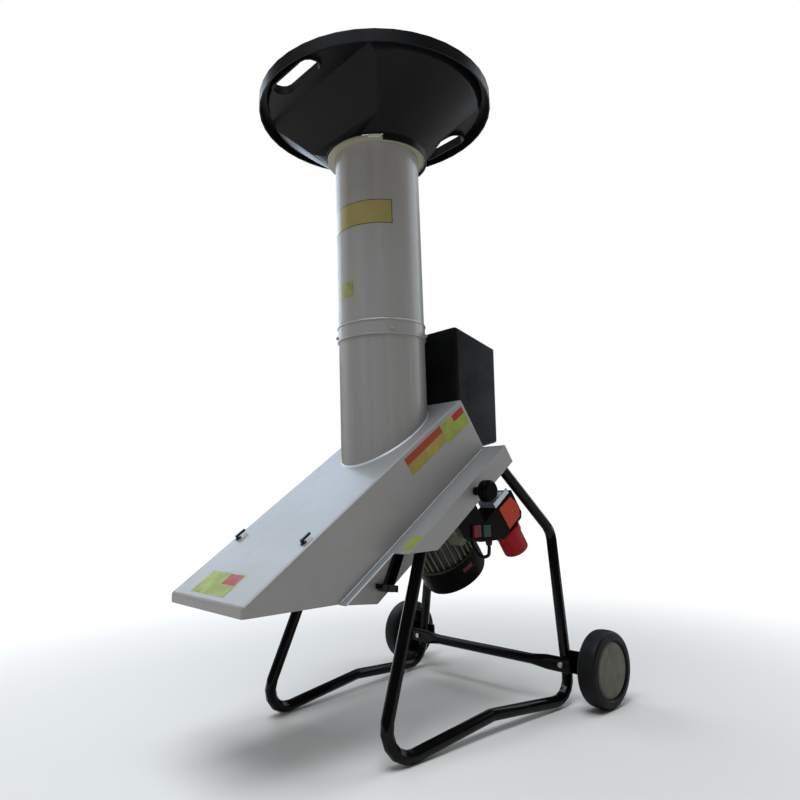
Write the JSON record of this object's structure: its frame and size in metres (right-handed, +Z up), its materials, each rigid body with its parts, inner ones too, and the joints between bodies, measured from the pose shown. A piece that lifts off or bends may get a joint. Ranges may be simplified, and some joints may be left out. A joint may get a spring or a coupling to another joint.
{
  "type": "electric wood chipper",
  "caption": "Upright electric wood chipper: round feed tube with a wide funnel, sloping knife housing with rear hopper, motor, switch unit and wheeled tube frame.",
  "frame": {"origin": "on the ground under the middle of the whole machine", "axes": "+Z up, -Y the way the discharge chute points, +Y the wheel end, +X the side with the switch unit, called left"},
  "size_m": [0.667, 0.8722, 1.4226],
  "materials": {
    "grey_paint": "satin light grey paint on sheet steel",
    "black_plastic": "moulded black plastic with a low sheen",
    "black_enamel": "glossy black paint on steel tube",
    "black_rubber": "matt black rubber",
    "cream_plastic": "cream-grey moulded wheel disc",
    "steel": "bare machined steel",
    "cast_metal": "dark olive-grey paint on a finned casting",
    "copper": "lacquered winding",
    "red_plastic": "red moulded plastic",
    "green_plastic": "green moulded plastic",
    "orange_plate": "bare orange-red plate",
    "zinc": "zinc-plated steel",
    "olive_band": "pale olive plastic"
  },
  "bodies": {
    "machine": {"lower_tube": "grey_paint", "upper_tube": "grey_paint", "tube_collar": "grey_paint", "feed_funnel": "black_plastic", "funnel_band": "olive_band", "hood": "grey_paint", "hood_screw_left": "steel", "hood_screw_right": "steel", "throat_plate": "grey_paint", "base_pan": "grey_paint", "chute_shell": "grey_paint", "front_bracket_left": "black_enamel", "front_bracket_right": "black_enamel", "rear_hopper": "black_plastic", "counter_knife": "steel", "counter_knife_bolt_left": "steel", "counter_knife_bolt_right": "steel", "motor_flange": "cast_metal", "front_bearing": "steel", "motor_housing": "cast_metal", "stator": "copper", "rear_bell": "cast_metal", "rear_bearing": "steel", "fan_cowl": "black_plastic", "terminal_box": "cast_metal", "terminal_lid": "cast_metal", "switch_box": "black_plastic", "switch_cover": "black_plastic", "switch_plate": "orange_plate", "switch_bracket": "zinc", "inlet_socket": "red_plastic", "inlet_pins": "black_plastic", "switch_gland": "black_plastic", "motor_gland": "black_plastic", "motor_lead": "black_rubber", "side_frame_left": "black_enamel", "side_frame_right": "black_enamel", "crossbar": "black_enamel", "crossbar_bolt_left": "steel", "crossbar_bolt_right": "steel", "axle_left": "black_enamel", "axle_right": "black_enamel", "axle_cap_left": "steel", "axle_cap_right": "steel"},
    "rotor": {"cutting_disc": "steel", "knife_1": "steel", "knife_2": "steel", "disc_bolt": "steel", "motor_shaft": "steel", "rotor_core": "steel", "cooling_fan": "black_plastic"},
    "wheel_left": {"tyre_left": "black_rubber", "hub_left": "cream_plastic"},
    "wheel_right": {"tyre_right": "black_rubber", "hub_right": "cream_plastic"},
    "stop_button": {"stop_button": "red_plastic"},
    "start_button": {"start_button": "green_plastic"},
    "clamp_knob": {"clamp_knob": "black_plastic"}
  },
  "joints": [
    {"name": "rotor_spin", "type": "hinge", "parent": "machine", "child": "rotor", "pos_m": [0, 0.05758, 0.52402], "axis": [0, -0.5654, 0.8248], "continuous": true},
    {"name": "wheel_left_spin", "type": "hinge", "parent": "machine", "child": "wheel_left", "pos_m": [0.311, 0.35408, 0.082], "axis": [1, 0, 0], "continuous": true},
    {"name": "wheel_right_spin", "type": "hinge", "parent": "machine", "child": "wheel_right", "pos_m": [-0.311, 0.35408, 0.082], "axis": [1, 0, 0], "continuous": true},
    {"name": "stop_press", "type": "slide", "parent": "machine", "child": "stop_button", "axis": [-1, 0, 0], "range_m": [0, 0.004], "stiffness_N_per_m": 400},
    {"name": "start_press", "type": "slide", "parent": "machine", "child": "start_button", "axis": [-1, 0, 0], "range_m": [0, 0.004], "stiffness_N_per_m": 400},
    {"name": "knob_turn", "type": "hinge", "parent": "machine", "child": "clamp_knob", "pos_m": [0.2255, 0.08368, 0.47887], "axis": [1, 0, 0], "continuous": true}
  ]
}
